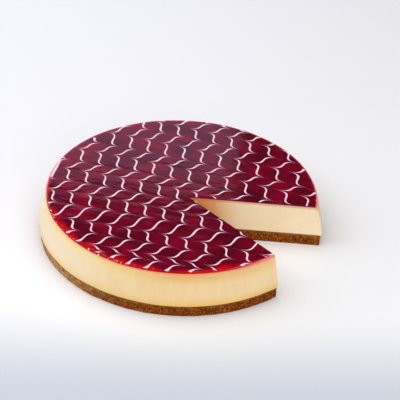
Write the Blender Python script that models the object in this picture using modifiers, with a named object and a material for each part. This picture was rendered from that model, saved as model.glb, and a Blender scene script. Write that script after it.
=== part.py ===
"""A round baked cheesecake on a biscuit base, glazed with raspberry and feathered with white icing.

Three layers run through the cake: the biscuit base, the baked cheese filling and the set glaze.
A wedge-shaped gap goes through all of them, from just off the centre out to the side.
The icing was piped on the wet glaze in parallel lines, and a skewer was then dragged across them
to and fro, so each line zigzags from one drag to the next.

Metres, +Z up. The origin is the centre of the cake's underside.
"""

import math

import bmesh
import bpy
from mathutils import Vector, noise

# Heights above the underside
BASE_HEIGHT = 0.0109
CAKE_HEIGHT = 0.0420
GLAZE_THICKNESS = 0.0012
LAYER_GAP = 0.0003
FILLING_FOOT = BASE_HEIGHT + LAYER_GAP
FILLING_TOP = CAKE_HEIGHT - GLAZE_THICKNESS - LAYER_GAP

# Radii of the round layers, and how far the leaning side bulges from a straight line
BASE_RADIUS = 0.1269
BASE_FOOT_RADIUS = 0.1266
FILLING_FOOT_RADIUS = 0.1280
GLAZE_RADIUS = 0.1211
SIDE_BULGE = 0.0007
SIDE_STEPS = 7
TURN_STEPS = 96
TURN_MERGE = 0.00005
POINT_MERGE = 0.00001

# The biscuit base: crumbs that stand out of its side
CRUMB_RELIEF = 0.0011
CRUMB_PITCH = 0.0045
CRUMB_ROWS = 4
CRUMB_STEPS = 168
FOOT_ROUNDING = 0.0004

# The glaze's rounded rim
RIM_ROUNDING = 0.0007
RIM_STEPS = 4

# The wedge-shaped gap, whose tip lies just off the cake's centre
GAP_TIP = Vector((0.0049, -0.0077))
GAP_FAR_SIDE = math.radians(-4.0)
GAP_NEAR_SIDE = math.radians(-47.3)
GAP_CUT_REACH = 0.2
GAP_CUT_DEPTH = 0.02

# The piped lines of icing, and the places of the skewer's drags across them, which pull to the right
# and to the left in turn. Lines and drags are square to each other but for a small lean.
DRAG_ANGLE = math.radians(-16.04)
LINE_SPACING = 0.01727
LINE_PHASE = -0.00212
LINE_LEAN = -0.052
DRAG_PLACES = (
    -0.1226, -0.1072, -0.0885, -0.0712, -0.0501, -0.0358, -0.0163, -0.0032,
    0.0144, 0.0306, 0.0480, 0.0693, 0.0852, 0.1022, 0.1100, 0.1265,
)
PULL_RIGHT = 0.0058
PULL_LEFT = 0.0061
PULL_FALLOFF = 0.00245

# How far a hand's lines drift from that lattice, in metres at 0.1 m from the centre
DRIFT_REACH = 0.1
DRIFT_SETTLING_STEPS = 14
LINE_DRIFT = {"spread": -0.0036, "fan": 0.0029, "bow": 0.0013, "twist": -0.0022}
DRAG_DRIFT = {"spread": -0.0009, "fan": 0.0057, "bow": -0.0032, "twist": 0.0030}

# One stroke of icing, from one drag to the next
STROKE_WIDTH = 0.0025
STROKE_RISE_RATIO = 0.32
STROKE_SINK = 0.0001
STROKE_END_GAP = 0.0006
STROKE_TIP_SHARE = 0.3
STROKE_TAPER = 0.0034
STROKE_SEGMENTS = 7
STROKE_RIM_GAP = 0.0016
SHORTEST_STROKE_POINTS = 3
LINES_EACH_WAY = 8

LAYER_COLOURS = {
    "biscuit_base": ((0.30, 0.13, 0.035, 1.0), 0.85),
    "cheese_filling": ((0.88, 0.70, 0.42, 1.0), 0.55),
    "raspberry_glaze": ((0.16, 0.002, 0.012, 1.0), 0.18),
}


def clear_scene():
    """Removes every object, so that the script also runs from the text editor."""
    for obj in list(bpy.data.objects):
        bpy.data.objects.remove(obj)


def new_collection(name):
    """Makes a collection in the scene."""
    collection = bpy.data.collections.new(name)
    bpy.context.scene.collection.children.link(collection)
    return collection


def layer_material(name):
    """A Principled BSDF with a layer's colour and roughness."""
    colour, roughness = LAYER_COLOURS[name]
    material = bpy.data.materials.new(name)
    material.use_nodes = True
    shader = material.node_tree.nodes["Principled BSDF"]
    shader.inputs["Base Color"].default_value = colour
    shader.inputs["Roughness"].default_value = roughness
    shader.inputs["Metallic"].default_value = 0.0
    return material


def evaluated_mesh(obj):
    """A new mesh with the object's modifiers, or a curve's tube, in it."""
    graph = bpy.context.evaluated_depsgraph_get()
    return bpy.data.meshes.new_from_object(obj.evaluated_get(graph))


def side_radius(height):
    """The filling's radius at a height: the side leans in towards the glaze and bulges a little."""
    share = (height - FILLING_FOOT) / (FILLING_TOP - FILLING_FOOT)
    straight = FILLING_FOOT_RADIUS + (GLAZE_RADIUS - FILLING_FOOT_RADIUS) * share
    return straight + SIDE_BULGE * math.sin(math.pi * share)


def turned_disc(name, side, collection, steps=TURN_STEPS):
    """Turns a side's outline, given from the top down, and closes it flat above and below."""
    outline = bpy.data.meshes.new(name)
    points = [(radius, 0.0, height) for radius, height in side]
    outline.from_pydata(points, [(i, i + 1) for i in range(len(points) - 1)], [])
    obj = bpy.data.objects.new(name, outline)
    collection.objects.link(obj)

    turn = obj.modifiers.new("turn", "SCREW")
    turn.steps = steps
    turn.render_steps = steps
    turn.use_merge_vertices = True
    turn.merge_threshold = TURN_MERGE
    turn.use_smooth_shade = False
    turned = evaluated_mesh(obj)
    obj.modifiers.remove(turn)
    obj.data = turned
    bpy.data.meshes.remove(outline)
    turned.name = name

    shell = bmesh.new()
    shell.from_mesh(turned)
    open_edges = [edge for edge in shell.edges if edge.is_boundary]
    bmesh.ops.holes_fill(shell, edges=open_edges, sides=0)
    bmesh.ops.recalc_face_normals(shell, faces=shell.faces)
    shell.to_mesh(turned)
    shell.free()
    turned.materials.append(layer_material(name))
    return obj


def base_layer(collection):
    """The pressed biscuit base, whose side is uneven with crumbs."""
    rows = [BASE_HEIGHT - (BASE_HEIGHT - FOOT_ROUNDING) * i / CRUMB_ROWS for i in range(CRUMB_ROWS + 1)]
    lean = (BASE_RADIUS - BASE_FOOT_RADIUS) / BASE_HEIGHT
    side = [(BASE_FOOT_RADIUS + lean * height, height) for height in rows]
    side.append((BASE_FOOT_RADIUS - FOOT_ROUNDING, 0.0))
    obj = turned_disc("biscuit_base", side, collection, CRUMB_STEPS)
    for vertex in obj.data.vertices:
        height = vertex.co.z
        if height > BASE_HEIGHT - FOOT_ROUNDING or height < FOOT_ROUNDING / 2:
            continue
        outward = Vector((vertex.co.x, vertex.co.y, 0.0)).normalized()
        vertex.co += outward * CRUMB_RELIEF * noise.noise(vertex.co / CRUMB_PITCH)
    return obj


def filling_layer(collection):
    """The baked cheese filling, a smooth leaning side between flat faces."""
    height = FILLING_TOP - FILLING_FOOT
    heights = [FILLING_TOP - height * i / SIDE_STEPS for i in range(SIDE_STEPS + 1)]
    side = [(side_radius(at), at) for at in heights]
    return turned_disc("cheese_filling", side, collection)


def glaze_disc(collection):
    """The set glaze, a thin disc with a rounded upper rim."""
    side = []
    for i in range(RIM_STEPS + 1):
        turn = math.pi / 2 * (1 - i / RIM_STEPS)
        radius = GLAZE_RADIUS - RIM_ROUNDING + RIM_ROUNDING * math.cos(turn)
        height = CAKE_HEIGHT - RIM_ROUNDING + RIM_ROUNDING * math.sin(turn)
        side.append((radius, height))
    side.append((GLAZE_RADIUS, CAKE_HEIGHT - GLAZE_THICKNESS))
    return turned_disc("raspberry_glaze", side, collection)


def drift(along, across, sizes):
    """How far a hand's line strays at a place, from the named sizes of its drift."""
    a, b = along / DRIFT_REACH, across / DRIFT_REACH
    return sizes["spread"] * a * a + sizes["fan"] * a * b + sizes["bow"] * b * b + sizes["twist"] * a**3


def pull(row_place):
    """How far the skewer's drags have shifted the icing at a place across the drags."""
    total = 0.0
    for row, drag in enumerate(DRAG_PLACES):
        reach = -PULL_LEFT if row % 2 else PULL_RIGHT
        total += reach * math.exp(-abs(row_place - drag) / PULL_FALLOFF)
    return total


def icing_point(line, row_place):
    """Where a piped line crosses a place across the drags, as X and Y on the glaze."""
    along, across = LINE_PHASE + line * LINE_SPACING, row_place
    for _ in range(DRIFT_SETTLING_STEPS):
        across = row_place - drift(across, along, DRAG_DRIFT)
        shifted = LINE_PHASE + line * LINE_SPACING + LINE_LEAN * across + pull(row_place)
        along = shifted - drift(along, across, LINE_DRIFT)
    cosine, sine = math.cos(DRAG_ANGLE), math.sin(DRAG_ANGLE)
    return Vector((along * cosine + across * sine, along * sine - across * cosine))


def stroke_points(line, drag, next_drag):
    """One stroke's points with their share of the full width: thick in the middle, thin at the drags."""
    first = drag + STROKE_END_GAP
    length = next_drag - drag - 2 * STROKE_END_GAP
    points = []
    for i in range(STROKE_SEGMENTS + 1):
        share = i / STROKE_SEGMENTS
        place = first + length * share
        from_end = length * min(share, 1 - share)
        taper = STROKE_TIP_SHARE + (1 - STROKE_TIP_SHARE) * min(1.0, from_end / STROKE_TAPER)
        at = icing_point(line, place)
        if at.length < GLAZE_RADIUS - STROKE_RIM_GAP:
            points.append((at, taper))
    return points


def icing_strokes(collection):
    """All strokes of icing as flattened tubes, half sunk in the glaze's upper face."""
    curve = bpy.data.curves.new("icing_strokes", "CURVE")
    curve.dimensions = "3D"
    curve.bevel_depth = STROKE_WIDTH / 2
    curve.bevel_resolution = 0
    curve.use_fill_caps = True
    for line in range(-LINES_EACH_WAY, LINES_EACH_WAY + 1):
        for drag, next_drag in zip(DRAG_PLACES, DRAG_PLACES[1:]):
            points = stroke_points(line, drag, next_drag)
            if len(points) < SHORTEST_STROKE_POINTS:
                continue
            spline = curve.splines.new("POLY")
            spline.points.add(len(points) - 1)
            for target, (at, taper) in zip(spline.points, points):
                target.co = (at.x, at.y, 0.0, 1.0)
                target.radius = taper
    tubes = bpy.data.objects.new("icing_tubes", curve)
    collection.objects.link(tubes)

    ridges = bpy.data.objects.new("icing_ridges", evaluated_mesh(tubes))
    ridges.matrix_world = tubes.matrix_world
    collection.objects.link(ridges)
    bpy.data.objects.remove(tubes)
    shell = bmesh.new()
    shell.from_mesh(ridges.data)
    bmesh.ops.remove_doubles(shell, verts=shell.verts, dist=POINT_MERGE)
    for vertex in shell.verts:
        vertex.co.z = vertex.co.z * STROKE_RISE_RATIO + CAKE_HEIGHT - STROKE_SINK
    bmesh.ops.recalc_face_normals(shell, faces=shell.faces)
    shell.to_mesh(ridges.data)
    shell.free()
    return ridges


def gap_cutter(collection):
    """The gap's wedge, a flat outline raised through all the layers."""
    outline = bpy.data.curves.new("gap_outline", "CURVE")
    outline.dimensions = "2D"
    outline.fill_mode = "BOTH"
    outline.extrude = CAKE_HEIGHT / 2 + GAP_CUT_DEPTH
    spline = outline.splines.new("POLY")
    spline.points.add(2)
    spline.points[0].co = (GAP_TIP.x, GAP_TIP.y, 0.0, 1.0)
    for point, angle in zip(spline.points[1:], (GAP_NEAR_SIDE, GAP_FAR_SIDE)):
        reach = GAP_TIP + GAP_CUT_REACH * Vector((math.cos(angle), math.sin(angle)))
        point.co = (reach.x, reach.y, 0.0, 1.0)
    spline.use_cyclic_u = True
    wedge = bpy.data.objects.new("gap_outline", outline)
    wedge.location.z = CAKE_HEIGHT / 2
    collection.objects.link(wedge)
    bpy.context.view_layer.update()

    cutter = bpy.data.objects.new("wedge_gap", evaluated_mesh(wedge))
    cutter.matrix_world = wedge.matrix_world
    collection.objects.link(cutter)
    bpy.data.objects.remove(wedge)
    shell = bmesh.new()
    shell.from_mesh(cutter.data)
    bmesh.ops.remove_doubles(shell, verts=shell.verts, dist=POINT_MERGE)
    bmesh.ops.recalc_face_normals(shell, faces=shell.faces)
    shell.to_mesh(cutter.data)
    shell.free()
    cutter.hide_render = True
    cutter.display_type = "WIRE"
    return cutter


def fuse_icing(glaze, collection):
    """Joins the strokes to the glaze with one union, and removes them."""
    icing_strokes(collection)
    union = glaze.modifiers.new("fuse icing", "BOOLEAN")
    union.operation = "UNION"
    union.operand_type = "COLLECTION"
    union.collection = collection
    fused = evaluated_mesh(glaze)
    glaze.modifiers.remove(union)
    glaze.data = fused
    for obj in list(collection.objects):
        bpy.data.objects.remove(obj)


def cut_gap(layer, cutter):
    """Takes the wedge out of a layer."""
    cut = layer.modifiers.new("wedge gap", "BOOLEAN")
    cut.operation = "DIFFERENCE"
    cut.object = cutter


def main():
    clear_scene()
    cake = new_collection("raspberry_cheesecake")
    cutters = new_collection("cutters")
    icing = new_collection("icing")
    glaze = glaze_disc(cake)
    fuse_icing(glaze, icing)
    cutter = gap_cutter(cutters)
    for layer in (base_layer(cake), filling_layer(cake), glaze):
        cut_gap(layer, cutter)


main()
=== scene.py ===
"""The looks of a raspberry cheesecake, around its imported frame.

The cake is round, with a wedge-shaped gap. A pressed biscuit base carries a baked cheese filling,
and a clear raspberry glaze lies on that, feathered with white icing: lines piped side by side, then
dragged to and fro with a skewer.

Metres, +Z up. The origin is the centre of the cake's underside.
"""

from __future__ import annotations

import logging
import math
from dataclasses import dataclass, field
from enum import Enum
from typing import Callable, Iterable, Iterator, NamedTuple, Sequence

import bmesh
import bpy
from mathutils import Matrix, Vector, noise

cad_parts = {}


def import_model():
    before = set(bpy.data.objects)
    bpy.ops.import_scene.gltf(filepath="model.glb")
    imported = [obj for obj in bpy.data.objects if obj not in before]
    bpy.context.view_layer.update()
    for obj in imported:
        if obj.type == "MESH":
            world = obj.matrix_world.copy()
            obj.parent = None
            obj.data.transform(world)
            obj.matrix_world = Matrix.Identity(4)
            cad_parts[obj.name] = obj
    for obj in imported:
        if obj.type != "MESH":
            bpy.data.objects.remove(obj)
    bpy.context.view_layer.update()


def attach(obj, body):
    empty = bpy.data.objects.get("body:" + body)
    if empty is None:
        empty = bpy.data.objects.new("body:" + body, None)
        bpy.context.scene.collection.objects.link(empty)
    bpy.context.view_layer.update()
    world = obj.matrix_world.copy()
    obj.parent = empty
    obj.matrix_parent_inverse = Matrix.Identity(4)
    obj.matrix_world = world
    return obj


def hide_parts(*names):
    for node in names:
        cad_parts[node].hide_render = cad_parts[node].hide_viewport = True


LOG = logging.getLogger("cheesecake")
BODY = "root"
SHARP_EDGE = math.radians(42)
HAIR = 1e-6  # Lengths below this are rounding error.
TOUCH = 1e-5  # Points nearer than this to the tip or a wall lie on it.

Colour = tuple[float, float, float]
Number = "float | Value"
Material = bpy.types.Material
Piece = bpy.types.Object
Shell = bmesh.types.BMesh
Vert = bmesh.types.BMVert
Edge = bmesh.types.BMEdge


def srgb(red: int, green: int, blue: int) -> Colour:
    """Turns a colour as seen on a screen into linear light.

    Args:
        red, green, blue: The three channels, 0 to 255.

    Returns:
        The linear channels, 0 to 1.
    """
    def linear(channel: int) -> float:
        """One channel in linear light."""
        share = channel / 255
        return share / 12.92 if share <= 0.04045 else ((share + 0.055) / 1.055) ** 2.4

    return linear(red), linear(green), linear(blue)


def smooth_share(value: float, low: float, high: float) -> float:
    """How far a value is from low to high, 0 to 1, eased at both ends."""
    share = min(1.0, max(0.0, (value - low) / (high - low)))
    return share * share * (3 - 2 * share)


class Slot(Enum):
    """The record's material slots."""

    BISCUIT = "biscuit"
    CHEESE = "baked_cheese"
    GLAZE = "glaze"
    ICING = "icing"


class Wall(Enum):
    """The two cut walls of the gap, named as the camera sees them."""

    FAR = "far"
    NEAR = "near"


class Span(NamedTuple):
    """The value at which an effect starts, the value at which it is full, and its share there."""

    start: float
    full: float
    share: float = 1.0


class Grain(NamedTuple):
    """Soft noise: the size of its marks in metres, its finer detail and how rough that is."""

    size: float
    detail: float = 2.0
    roughness: float = 0.5


class Value:
    """A shader socket that takes part in arithmetic. Each operation adds a Math node."""

    def __init__(self, shade: "Shade", socket: bpy.types.NodeSocket) -> None:
        """Keeps the socket and the tree that it is in."""
        self.shade = shade
        self.socket = socket

    def __add__(self, other: Number) -> "Value":
        """self + other."""
        return self.shade.math("ADD", self, other)

    def __radd__(self, other: Number) -> "Value":
        """other + self."""
        return self.shade.math("ADD", other, self)

    def __sub__(self, other: Number) -> "Value":
        """self - other."""
        return self.shade.math("SUBTRACT", self, other)

    def __rsub__(self, other: Number) -> "Value":
        """other - self."""
        return self.shade.math("SUBTRACT", other, self)

    def __mul__(self, other: Number) -> "Value":
        """self * other."""
        return self.shade.math("MULTIPLY", self, other)

    def __rmul__(self, other: Number) -> "Value":
        """other * self."""
        return self.shade.math("MULTIPLY", other, self)

    def __truediv__(self, other: Number) -> "Value":
        """self / other."""
        return self.shade.math("DIVIDE", self, other)

    def __rtruediv__(self, other: Number) -> "Value":
        """other / self."""
        return self.shade.math("DIVIDE", other, self)


class Shade:
    """One material's node tree, built up by arithmetic on Values."""

    FIRST_COLOUR = 6
    SECOND_COLOUR = 7
    MIXED_COLOUR = 2

    def __init__(self, name: str) -> None:
        """Starts a material with its Principled BSDF.

        Args:
            name: The material's name.
        """
        self.material = bpy.data.materials.new(name)
        self.material.use_nodes = True
        self.tree = self.material.node_tree
        self.surface = self.tree.nodes["Principled BSDF"]

    def node(self, kind: str, settings: dict | None = None, sockets: dict | None = None) -> bpy.types.Node:
        """Adds a node.

        Args:
            kind: The node's type.
            settings: Its own settings by name, set first.
            sockets: Values or links for its input sockets, by name or number.

        Returns:
            The new node.
        """
        made = self.tree.nodes.new(kind)
        for name, setting in (settings or {}).items():
            setattr(made, name, setting)
        for name, given in (sockets or {}).items():
            self.feed(made.inputs[name], given)
        return made

    def feed(self, socket: bpy.types.NodeSocket, given: object) -> None:
        """Links a Value to a socket, or sets the socket.

        Args:
            socket: The input socket.
            given: A Value, a number or a colour.
        """
        if isinstance(given, Value):
            self.tree.links.new(given.socket, socket)
        elif isinstance(given, (tuple, list)) and socket.type == "RGBA":
            socket.default_value = (*given, 1.0)
        else:
            socket.default_value = given

    def value(self, node: bpy.types.Node, output: str | int = 0) -> Value:
        """A node's output as a Value."""
        return Value(self, node.outputs[output])

    def math(self, operation: str, *given: Number) -> Value:
        """A Math node on one to three numbers or Values."""
        return self.value(self.node("ShaderNodeMath", {"operation": operation}, dict(enumerate(given))))

    def length(self, x: Value, y: Value) -> Value:
        """How long a level offset is."""
        return self.math("SQRT", x * x + y * y)

    def ease(self, given: Value, span: Span) -> Value:
        """0 before the span's start and its share past where it is full, eased between them."""
        sockets = {"Value": given, "From Min": span.start, "From Max": span.full, "To Max": span.share}
        return self.value(self.node("ShaderNodeMapRange", {"interpolation_type": "SMOOTHSTEP"}, sockets))

    def near(self, given: Value, width: float) -> Value:
        """1 where the given is nought, falling to each side as a bell of the given width."""
        share = given / width
        return self.math("EXPONENT", (share * share) * -1.0)

    def between(self, first: Value, second: Value, share: float = 0.5) -> Value:
        """Two Values mixed, by a share of the second."""
        return first * (1.0 - share) + second * share

    def mix(self, share: Number, first: object, second: object) -> Value:
        """Mixes two colours.

        Args:
            share: The share of the second.
            first, second: The colours.

        Returns:
            The mixed colour.
        """
        made = self.node("ShaderNodeMix", {"data_type": "RGBA"}, {0: share})
        self.feed(made.inputs[self.FIRST_COLOUR], first)
        self.feed(made.inputs[self.SECOND_COLOUR], second)
        return self.value(made, self.MIXED_COLOUR)

    def place(self) -> Value:
        """The point's own object coordinates, in metres."""
        return self.value(self.node("ShaderNodeTexCoord"), "Object")

    def axes(self, vector: Value) -> tuple[Value, Value, Value]:
        """A vector's three parts."""
        made = self.node("ShaderNodeSeparateXYZ", None, {0: vector})
        return self.value(made, 0), self.value(made, 1), self.value(made, 2)

    def vector(self, *parts: Number) -> Value:
        """A vector from three numbers or Values."""
        return self.value(self.node("ShaderNodeCombineXYZ", None, dict(enumerate(parts))))

    def grain(self, at: Value, grain: Grain) -> Value:
        """Soft noise, 0 to 1 about a half."""
        sockets = {"Scale": 1 / grain.size, "Detail": grain.detail, "Roughness": grain.roughness}
        return self.value(self.node("ShaderNodeTexNoise", None, {"Vector": at, **sockets}), "Fac")

    def patches(self, at: Value, grain: Grain, span: Span) -> Value:
        """Patches where soft noise passes through a span."""
        return self.ease(self.grain(at, grain), span)

    def wander(self, at: Value, grain: Grain, reach: float) -> Value:
        """Soft noise about nought, half the reach to each side."""
        return (self.grain(at, grain) - 0.5) * reach

    def cells(self, at: Value, size: float, feature: str = "F1", output: str = "Distance") -> Value:
        """Cells about size across, by distance from their middles or by colour."""
        sockets = {"Vector": at, "Scale": 1.0 / size}
        return self.value(self.node("ShaderNodeTexVoronoi", {"feature": feature}, sockets), output)

    def attribute(self, name: str) -> Value:
        """A number that the mesh carries at each point."""
        return self.value(self.node("ShaderNodeAttribute", {"attribute_name": name}), "Fac")

    def bump(self, height: Value, depth: float) -> Value:
        """A normal for a height from 0 to 1, depth metres deep."""
        return self.value(self.node("ShaderNodeBump", None, {"Height": height, "Distance": depth}))

    def soften(self, weight: float, radius: Colour) -> None:
        """Lets light into the surface, as far as radius in red, green and blue."""
        self.dress(Subsurface_Weight=weight, Subsurface_Radius=radius, Subsurface_Scale=1.0)

    def dress(self, **sockets: object) -> Material:
        """Feeds the Principled BSDF.

        Args:
            sockets: Numbers, colours or Values by socket name, with _ for a space.

        Returns:
            The material.
        """
        for name, given in sockets.items():
            self.feed(self.surface.inputs[name.replace("_", " ")], given)
        return self.material


@dataclass(frozen=True)
class WedgeGap:
    """The wedge-shaped gap, whose tip lies just off the cake's centre."""

    tip: Vector = Vector((0.0049, -0.0077, 0.0))
    far_side: float = math.radians(-4.0)
    near_side: float = math.radians(-47.3)

    def along(self, wall: Wall) -> Vector:
        """The direction from the tip out along a wall."""
        angle = self.far_side if wall is Wall.FAR else self.near_side
        return Vector((math.cos(angle), math.sin(angle), 0.0))

    def into_gap(self, wall: Wall) -> Vector:
        """The direction in which a wall faces, into the gap."""
        along, side = self.along(wall), 1.0 if wall is Wall.FAR else -1.0
        return Vector((along.y, -along.x, 0.0)) * side

    def reach(self, direction: Vector, radius: float) -> float:
        """How far a circle round the cake's centre lies from the tip in a direction."""
        back = self.tip.dot(direction)
        return math.sqrt(back * back - self.tip.length_squared + radius * radius) - back

    def corner(self, wall: Wall, radius: float) -> Vector:
        """Where a wall meets a circle round the cake's centre."""
        return self.tip + self.along(wall) * self.reach(self.along(wall), radius)

    def holds(self, point: Vector) -> bool:
        """Whether a point lies in the gap."""
        offset = point - self.tip
        return all(offset.dot(self.into_gap(wall)) > 0 for wall in Wall)

    @staticmethod
    def turn(near: Vector, far: Vector) -> float:
        """The angle through the cake from a place on the near wall to one on the far wall."""
        return math.tau - (math.atan2(far.y, far.x) - math.atan2(near.y, near.x))


@dataclass(frozen=True)
class Feathering:
    """Where icing goes that is piped in lines and dragged to and fro with a skewer.

    "along" runs with the drags, and "across" square to them. Each drag shifts the icing along
    itself, most where the skewer passed.
    """

    drag_angle: float = math.radians(-16.04)
    line_spacing: float = 0.01727
    line_phase: float = -0.00212
    line_lean: float = -0.052
    drag_places: tuple[float, ...] = (
        -0.1226, -0.1072, -0.0885, -0.0712, -0.0501, -0.0358, -0.0163, -0.0032,
        0.0144, 0.0306, 0.0480, 0.0693, 0.0852, 0.1022, 0.1100, 0.1265,
    )
    pull_right: float = 0.0058
    pull_left: float = 0.0061
    pull_falloff: float = 0.00245
    tail_reach: float = 0.0078
    tail_falloff: float = 0.00055
    drift_reach: float = 0.1
    line_drift: tuple[float, float, float, float] = (-0.0036, 0.0029, 0.0013, -0.0022)
    drag_drift: tuple[float, float, float, float] = (-0.0009, 0.0057, -0.0032, 0.0030)
    settling_steps: int = 14

    def drift(self, along: Number, across: Number, sizes: Sequence[float]) -> Number:
        """How far a hand's line strays, from its spread, fan, bow and twist at the drift's reach.

        Args:
            along, across: The place, as numbers or as shader Values.
            sizes: The four sizes of the drift, in metres.

        Returns:
            The distance in metres, of the same kind as the place.
        """
        spread, fan, bow, twist = sizes
        a, b = along / self.drift_reach, across / self.drift_reach
        return a * a * spread + a * b * fan + b * b * bow + a * a * a * twist

    def pull(self, row_place: float) -> float:
        """How far the drags shift the icing, without their thin tails.

        Args:
            row_place: The place across the drags.

        Returns:
            The distance along them.
        """
        total = 0.0
        for row, drag in enumerate(self.drag_places):
            reach = -self.pull_left if row % 2 else self.pull_right
            total += reach * math.exp(-abs(row_place - drag) / self.pull_falloff)
        return total

    def tail(self, row_place: float) -> float:
        """How far the thin tail of the nearest drag goes on.

        Args:
            row_place: The place across the drags.

        Returns:
            The distance along them.
        """
        row = min(range(len(self.drag_places)), key=lambda row: abs(row_place - self.drag_places[row]))
        distance = abs(row_place - self.drag_places[row])
        return (-1.0 if row % 2 else 1.0) * self.tail_reach * math.exp(-distance / self.tail_falloff)

    def from_drag(self, row_place: float) -> float:
        """The distance to the nearest drag."""
        return min(abs(row_place - drag) for drag in self.drag_places)

    def drag_way(self) -> Vector:
        """The direction of the drags."""
        return Vector((math.cos(self.drag_angle), math.sin(self.drag_angle), 0.0))

    def point(self, line: int, row_place: float, tailed: float = 1.0) -> Vector:
        """A place on a piped line.

        Args:
            line: The line's number, 0 for the one nearest the centre.
            row_place: The place across the drags, before the hand's drift.
            tailed: The share of the drags' thin tails.

        Returns:
            The place on the glaze, at height 0.
        """
        start = self.line_phase + line * self.line_spacing
        start += self.pull(row_place) + tailed * self.tail(row_place)
        along, across = start, row_place
        for _ in range(self.settling_steps):
            across = row_place - self.drift(across, along, self.drag_drift)
            along = start + self.line_lean * across - self.drift(along, across, self.line_drift)
        cosine, sine = math.cos(self.drag_angle), math.sin(self.drag_angle)
        return Vector((along * cosine + across * sine, along * sine - across * cosine, 0.0))

    def turned(self, x: Number, y: Number) -> tuple[Number, Number]:
        """A place on the glaze as along and across."""
        cosine, sine = math.cos(self.drag_angle), math.sin(self.drag_angle)
        return x * cosine + y * sine, x * sine - y * cosine

    def row_place(self, x: Number, y: Number) -> Number:
        """A place on the glaze as a place across the drags, before the hand's drift."""
        along, across = self.turned(x, y)
        return across + self.drift(across, along, self.drag_drift)


@dataclass(frozen=True)
class BiscuitFinish:
    """Pressed biscuit crumbs: golden brown, with darker pits, pale flecks, and painted light that makes the
    lit left side paler and sandier.
    """

    crumb: Colour = srgb(156, 74, 0)
    dark_crumb: Colour = srgb(104, 44, 0)
    pale_crumb: Colour = srgb(216, 142, 46)
    pit: Colour = srgb(64, 24, 2)
    lit_sandy_crumb: Colour = srgb(228, 176, 112)
    upper_edge_tan: Colour = srgb(176, 122, 56)
    # Crumbs, paler flecks and darker patches.
    crumb_size: float = 0.0017
    fine_grain: Grain = Grain(0.0006, 4.0, 0.65)
    crumb_tones: Span = Span(0.3, 0.72)
    patch_grain: Grain = Grain(0.008)
    patches: Span = Span(0.35, 0.65)
    patch_share: float = 0.25
    fleck_grain: Grain = Grain(0.00119)
    flecks: Span = Span(0.58, 0.66, 0.85)
    # Painted light: the lit left side, paler and sandier, by its distance from the middle.
    lit_sandy_side: Span = Span(0.045, 0.118)
    lit_side_wander: float = 0.02
    lit_spot_grain: Grain = Grain(0.0045, 3.0, 0.6)
    lit_sandy_spots: Span = Span(0.36, 0.62, 0.6)
    lit_grit: float = 0.3
    least_lit_sandy: float = 0.2
    # A paler tan band along the upper edge, by height.
    top_grain: Grain = Grain(0.006, 3.0)
    top_wander: float = 0.007
    top_edge: Span = Span(0.0072, 0.0106, 0.45)
    # Dark seams between the crumbs, and pits.
    seams: Span = Span(0.12, 0.0, 0.35)
    pit_grain: Grain = Grain(0.00119, 3.0)
    pits: Span = Span(0.42, 0.33)
    pit_share: float = 0.55
    # The surface.
    fine_relief: float = 0.5
    crumb_relief: float = 0.3
    pit_relief: float = 0.4
    relief_depth: float = 0.0006
    roughness: float = 0.78
    uneven_roughness: float = 0.2
    specular: float = 0.15
    softness: float = 0.05
    soft_radius: Colour = (0.004, 0.002, 0.001)

    def material(self) -> Material:
        """Mixes the biscuit.

        Returns:
            The material.
        """
        shade = Shade("pressed_biscuit")
        at = shade.place()
        x, _, z = shade.axes(at)
        patches = shade.patches(at, self.patch_grain, self.patches)
        crumbs = shade.axes(shade.cells(at, self.crumb_size, output="Color"))[0]
        fine = shade.grain(at, self.fine_grain)
        tones = shade.ease(shade.between(crumbs, fine), self.crumb_tones)
        body = shade.mix(tones, self.dark_crumb, self.crumb)
        body = shade.mix(patches * self.patch_share, body, self.dark_crumb)
        body = shade.mix(shade.patches(at, self.fleck_grain, self.flecks), body, self.pale_crumb)
        # Painted light: the lit left side is paler and sandier.
        lit_sandy_side = shade.ease((patches - 0.5) * self.lit_side_wander - x, self.lit_sandy_side)
        lit_sandy_spots = shade.patches(at, self.lit_spot_grain, self.lit_sandy_spots)
        lit_sandiness = fine * self.lit_grit + lit_sandy_spots + self.least_lit_sandy
        body = shade.mix(lit_sandy_side * lit_sandiness, body, self.lit_sandy_crumb)
        top_edge = shade.ease(z + shade.wander(at, self.top_grain, self.top_wander), self.top_edge)
        body = shade.mix(top_edge, body, self.upper_edge_tan)
        seams = shade.ease(shade.cells(at, self.crumb_size, "DISTANCE_TO_EDGE"), self.seams)
        pits = shade.patches(at, self.pit_grain, self.pits)
        body = shade.mix(seams + pits * self.pit_share, body, self.pit)
        height = fine * self.fine_relief + crumbs * self.crumb_relief + (1 - pits) * self.pit_relief
        shade.soften(self.softness, self.soft_radius)
        return shade.dress(
            Base_Color=body,
            Roughness=self.roughness + (fine - 0.5) * self.uneven_roughness,
            Normal=shade.bump(height, self.relief_depth),
            Specular_IOR_Level=self.specular,
        )


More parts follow.
